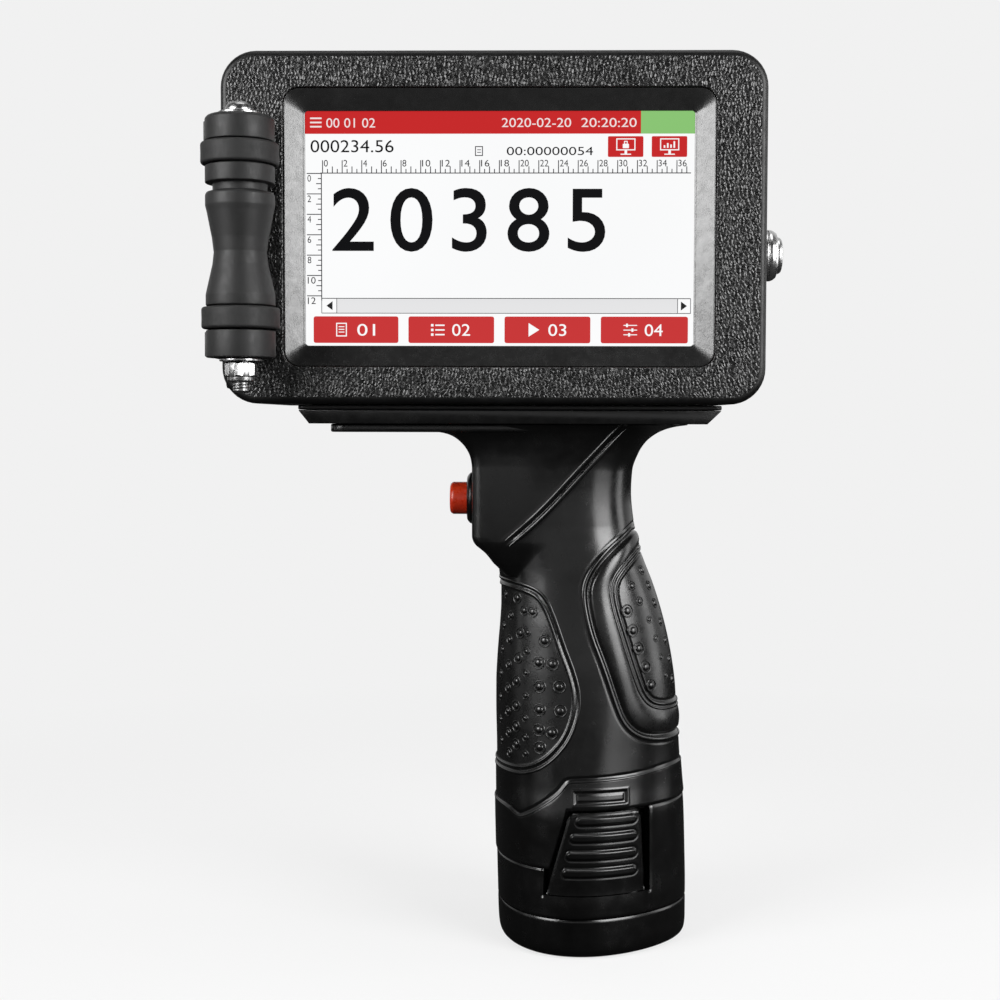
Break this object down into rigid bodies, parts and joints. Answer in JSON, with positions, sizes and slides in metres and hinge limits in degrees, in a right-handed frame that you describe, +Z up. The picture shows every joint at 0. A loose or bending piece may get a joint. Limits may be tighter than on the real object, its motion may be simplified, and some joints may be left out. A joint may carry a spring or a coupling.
{
  "type": "handheld inkjet date code printer",
  "caption": "Pistol-grip date code printer: boxy head with a touch screen on one side, guide rollers and an ink cartridge at the print end, red trigger and slide-out battery grip.",
  "frame": {"origin": "centre of the battery's flat base, which the printer stands on", "axes": "+Z up along the grip; the print end with its rollers faces -X and the power button +X; the screen faces -Y"},
  "size_m": [0.1597, 0.109, 0.2546],
  "materials": {
    "housing_paint": "black wrinkle powder coat",
    "bezel_plastic": "satin dark grey",
    "screen_glass": "polished touch glass",
    "display_body": "satin",
    "circuit_board": "green solder mask",
    "inner_plastic": "moulded black",
    "cartridge_plastic": "moulded black",
    "nozzle_metal": "plated",
    "anodised_bracket": "black anodised",
    "roller_plastic": "satin turned plastic",
    "tyre_rubber": "soft black rubber",
    "plated_steel": "bright plated",
    "switch_steel": "turned stainless",
    "gloss_handle": "gloss black",
    "grip_rubber": "dimpled soft grip",
    "trigger_red": "moulded red",
    "cell_wrap": "shrink-wrapped"
  },
  "bodies": {
    "printer": {"front_housing": "housing_paint", "rear_cover": "housing_paint", "screen_bezel": "bezel_plastic", "touch_glass": "screen_glass", "lcd_module": "display_body", "main_board": "circuit_board", "contact_board": "circuit_board", "cartridge_carriage": "inner_plastic", "battery_dock": "inner_plastic", "wiring_loom": "inner_plastic", "trigger_switch_body": "inner_plastic", "guide_plate": "anodised_bracket", "front_roller_bracket": "anodised_bracket", "rear_roller_bracket": "anodised_bracket", "front_axle_bolt": "plated_steel", "front_washer_upper": "plated_steel", "front_washer_lower": "plated_steel", "front_lock_nut": "plated_steel", "rear_axle_bolt": "plated_steel", "rear_washer_upper": "plated_steel", "rear_washer_lower": "plated_steel", "rear_lock_nut": "plated_steel", "rear_cover_screw_1": "plated_steel", "rear_cover_screw_2": "plated_steel", "rear_cover_screw_3": "plated_steel", "rear_cover_screw_4": "plated_steel", "handle_screw_1": "plated_steel", "handle_screw_2": "plated_steel", "handle_screw_3": "plated_steel", "usb_socket": "plated_steel", "power_switch_body": "switch_steel", "handle_shell_left": "gloss_handle", "handle_shell_right": "gloss_handle", "adapter_plate": "gloss_handle", "front_grip_left": "grip_rubber", "front_grip_right": "grip_rubber", "rear_grip_left": "grip_rubber", "rear_grip_right": "grip_rubber"},
    "trigger": {"trigger_button": "trigger_red"},
    "power_key": {"power_button": "switch_steel"},
    "front_roller": {"front_roller_spool": "roller_plastic", "front_tyre_lower": "tyre_rubber", "front_tyre_upper": "tyre_rubber"},
    "rear_roller": {"rear_roller_spool": "roller_plastic", "rear_tyre_lower": "tyre_rubber", "rear_tyre_upper": "tyre_rubber"},
    "cartridge": {"ink_cartridge": "cartridge_plastic", "nozzle_plate": "nozzle_metal"},
    "battery": {"battery_case": "gloss_handle", "battery_base": "gloss_handle", "battery_cell_1": "cell_wrap", "battery_cell_2": "cell_wrap", "battery_cell_3": "cell_wrap", "battery_terminal": "inner_plastic"},
    "latch_left": {"battery_latch_left": "gloss_handle"},
    "latch_right": {"battery_latch_right": "gloss_handle"}
  },
  "joints": [
    {"name": "trigger_press", "type": "slide", "parent": "printer", "child": "trigger", "axis": [1, 0, 0], "range_m": [0, 0.0018], "stiffness_N_per_m": 1200, "springref_m": -0.001},
    {"name": "power_press", "type": "slide", "parent": "printer", "child": "power_key", "axis": [-1, 0, 0], "range_m": [0, 0.0012], "stiffness_N_per_m": 1500, "springref_m": -0.001},
    {"name": "front_roller_spin", "type": "hinge", "parent": "printer", "child": "front_roller", "pos_m": [-0.097, -0.044, 0.202], "axis": [0, 0, 1], "continuous": true},
    {"name": "rear_roller_spin", "type": "hinge", "parent": "printer", "child": "rear_roller", "pos_m": [-0.097, 0.044, 0.202], "axis": [0, 0, 1], "continuous": true},
    {"name": "cartridge_slide", "type": "slide", "parent": "printer", "child": "cartridge", "axis": [-1, 0, 0], "range_m": [0, 0.082]},
    {"name": "battery_slide", "type": "slide", "parent": "printer", "child": "battery", "axis": [0, 0, -1], "range_m": [0, 0.064]},
    {"name": "latch_left_press", "type": "hinge", "parent": "battery", "child": "latch_left", "pos_m": [-0.001, -0.0262, 0.0193], "axis": [-1, 0, 0], "range_deg": [0, 4], "stiffness_Nm_per_rad": 1.5, "springref_deg": -1.72},
    {"name": "latch_right_press", "type": "hinge", "parent": "battery", "child": "latch_right", "pos_m": [-0.001, 0.0262, 0.0193], "axis": [1, 0, 0], "range_deg": [0, 4], "stiffness_Nm_per_rad": 1.5, "springref_deg": -1.72}
  ]
}
